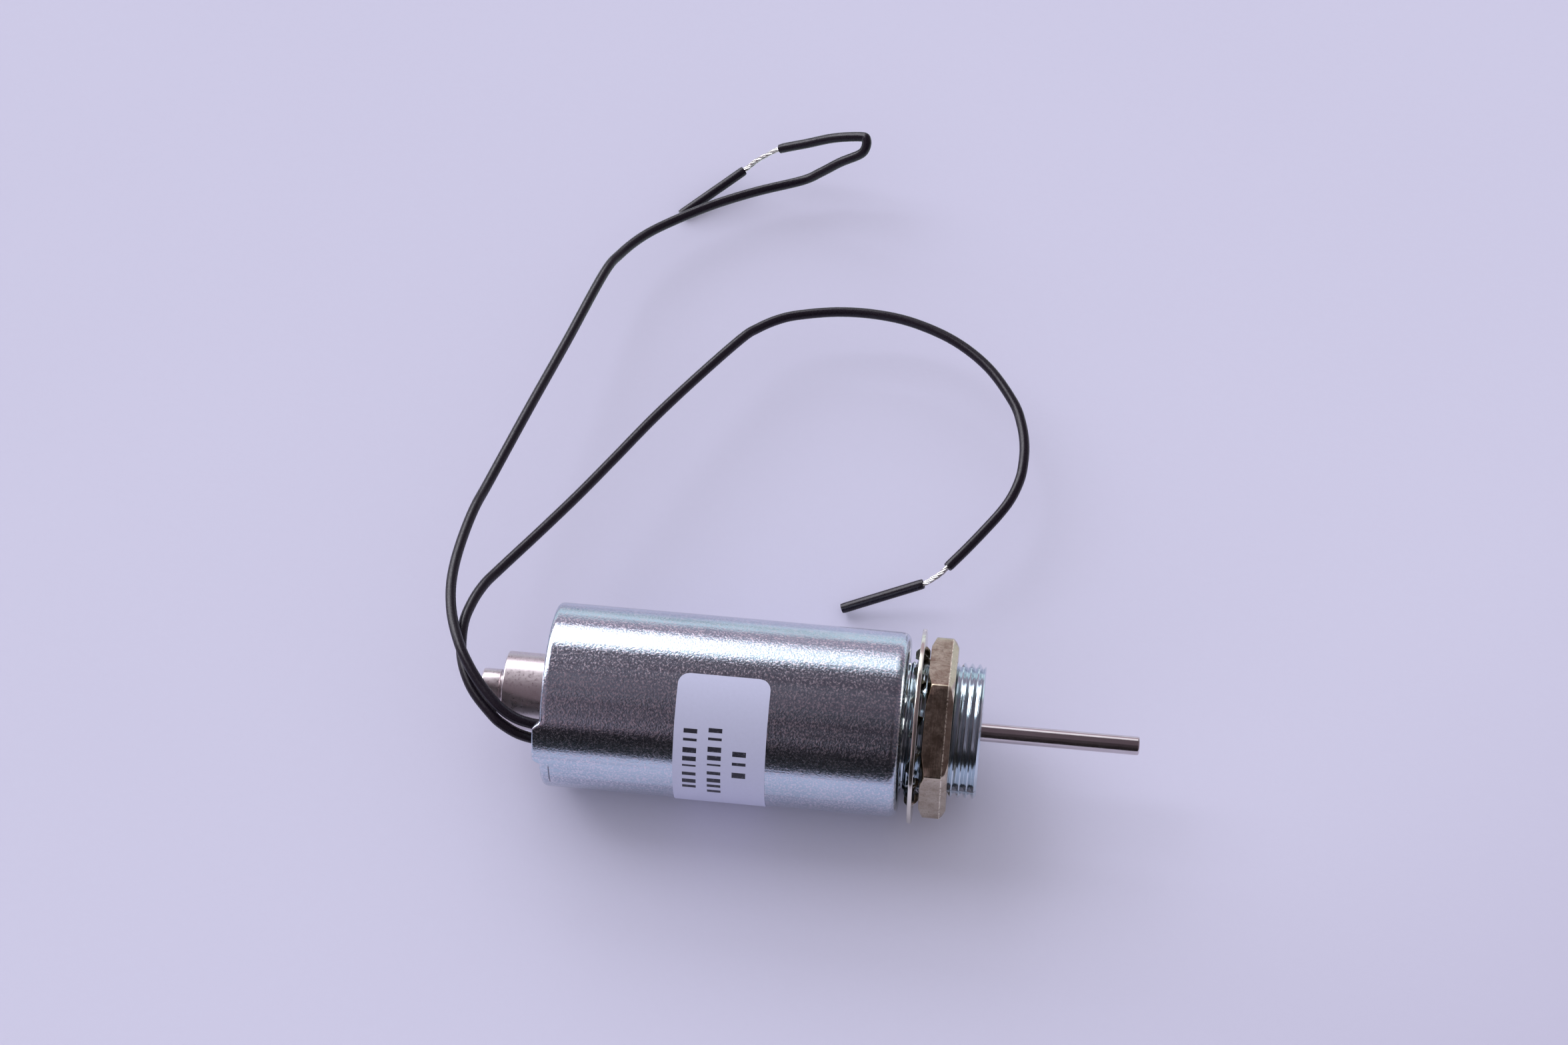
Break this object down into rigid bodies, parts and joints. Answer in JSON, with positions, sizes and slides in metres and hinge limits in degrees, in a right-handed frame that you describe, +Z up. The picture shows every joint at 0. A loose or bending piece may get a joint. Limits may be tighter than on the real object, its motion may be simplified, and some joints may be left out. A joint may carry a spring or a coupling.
{
  "type": "tubular push solenoid",
  "caption": "Tubular push solenoid: round steel can, threaded mounting nose with jam nut and lock washer, plain push rod, rear plunger stub and loose wire leads.",
  "frame": {"origin": "centre of the can's front face, on the axis, where the mounting panel or its washer would seat", "axes": "+X along the axis towards the tip of the push rod, +Z up with the can lying on its side, -Y the side the label and the lead tab face"},
  "size_m": [0.0993, 0.1168, 0.0274],
  "materials": {
    "zinc_bright": "bright zinc plate, faint speckle, blue cast",
    "zinc_turned": "turned steel, bright zinc plate",
    "steel_plate": "plain steel, lightly oiled",
    "nylon": "moulded nylon",
    "copper": "enamelled copper wire",
    "amber_tape": "polyester tape",
    "brass": "drawn brass",
    "bronze": "sintered bronze",
    "label_paper": "white coated paper",
    "black_pvc": "black PVC, faint lengthwise lines",
    "tinned_wire": "tinned copper",
    "clear_sleeve": "heat-shrink sleeve",
    "nickel_satin": "satin nickel plate, slightly warm",
    "rod_steel": "ground stainless steel",
    "nickel_bright": "bright nickel plate, warm cast",
    "nickel_warm": "nickel plate over machined flats, warm cast"
  },
  "bodies": {
    "housing": {"can": "zinc_bright", "pole_bush": "zinc_turned", "rear_end_plate": "steel_plate", "bobbin": "nylon", "coil_winding": "copper", "coil_tape": "amber_tape", "guide_tube": "brass", "rod_bushing": "bronze", "air_gap_washer": "brass", "label": "label_paper", "lead_a_jacket": "black_pvc", "lead_a_conductor": "tinned_wire", "lead_a_slug": "black_pvc", "lead_b_jacket": "black_pvc", "lead_b_conductor": "tinned_wire", "lead_b_slug": "black_pvc", "splice_crimp_a": "tinned_wire", "splice_crimp_b": "tinned_wire", "splice_sleeve_a": "clear_sleeve", "splice_sleeve_b": "clear_sleeve"},
    "plunger": {"plunger": "nickel_satin", "push_rod": "rod_steel"},
    "washer": {"lock_washer": "nickel_bright"},
    "nut": {"hex_nut": "nickel_warm"}
  },
  "joints": [
    {"name": "plunger_slide", "type": "slide", "parent": "housing", "child": "plunger", "axis": [1, 0, 0], "range_m": [-0.019, 0]},
    {"name": "washer_slide", "type": "slide", "parent": "housing", "child": "washer", "axis": [1, 0, 0], "range_m": [-0.00055, 0.004]},
    {"name": "nut_turn", "type": "hinge", "parent": "washer", "child": "nut", "pos_m": [0, 0, 0], "axis": [1, 0, 0], "range_deg": [-180, 1350]}
  ],
  "couplings": [
    {"joint": "washer_slide", "follows": "nut_turn", "m_per_rad": 0.00016839}
  ]
}
